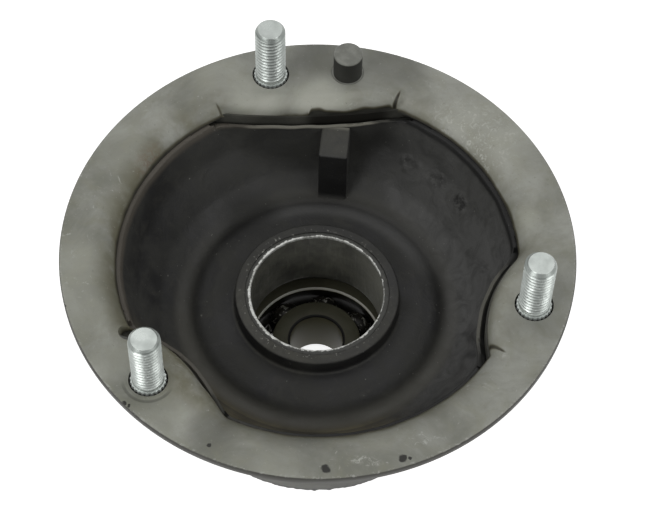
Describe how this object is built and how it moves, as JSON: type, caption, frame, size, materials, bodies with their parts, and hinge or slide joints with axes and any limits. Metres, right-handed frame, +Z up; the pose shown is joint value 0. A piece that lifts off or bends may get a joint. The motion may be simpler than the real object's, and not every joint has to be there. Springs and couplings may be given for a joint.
{
  "type": "suspension strut mount",
  "caption": "Round pressed-steel strut mount with flange studs, a locating pin and a moulded rubber bowl that carries an open ball bearing for the strut rod.",
  "frame": {"origin": "on the bearing axis, in the flange's upper face", "axes": "+Z up along the bearing axis and the studs, +Y from the axis towards the locating pin, +X completes a right-handed frame"},
  "size_m": [0.13, 0.13, 0.081],
  "materials": {
    "flange_steel": "grey phosphate on pressed steel, smeared with thin rubber film",
    "shell_steel": "dark grey phosphate on pressed steel",
    "rubber": "matt moulded black rubber",
    "sleeve_steel": "drawn steel under a dark film, bare at the rim",
    "bearing_steel": "ground bearing steel, lightly oiled",
    "cage_steel": "pressed sheet steel, dull",
    "zinc_plate": "bright zinc plate",
    "pin_steel": "dull grey steel"
  },
  "bodies": {
    "mount": {"upper_plate": "flange_steel", "lower_shell": "shell_steel", "rubber_body": "rubber", "bearing_sleeve": "sleeve_steel", "outer_race": "bearing_steel", "stud_1": "zinc_plate", "stud_2": "zinc_plate", "stud_3": "zinc_plate", "locating_pin": "pin_steel"},
    "inner": {"inner_race": "bearing_steel"},
    "ball_set": {"cage_upper": "cage_steel", "cage_lower": "cage_steel", "cage_rivets": "cage_steel", "ball_1": "bearing_steel", "ball_2": "bearing_steel", "ball_3": "bearing_steel", "ball_4": "bearing_steel", "ball_5": "bearing_steel", "ball_6": "bearing_steel", "ball_7": "bearing_steel", "ball_8": "bearing_steel"}
  },
  "joints": [
    {"name": "rod_spin", "type": "hinge", "parent": "mount", "child": "inner", "pos_m": [0, 0, -0.054], "axis": [0, 0, 1], "continuous": true},
    {"name": "cage_spin", "type": "hinge", "parent": "mount", "child": "ball_set", "pos_m": [0, 0, -0.054], "axis": [0, 0, 1], "continuous": true}
  ],
  "couplings": [
    {"joint": "cage_spin", "follows": "rod_spin", "ratio": 0.3645}
  ]
}
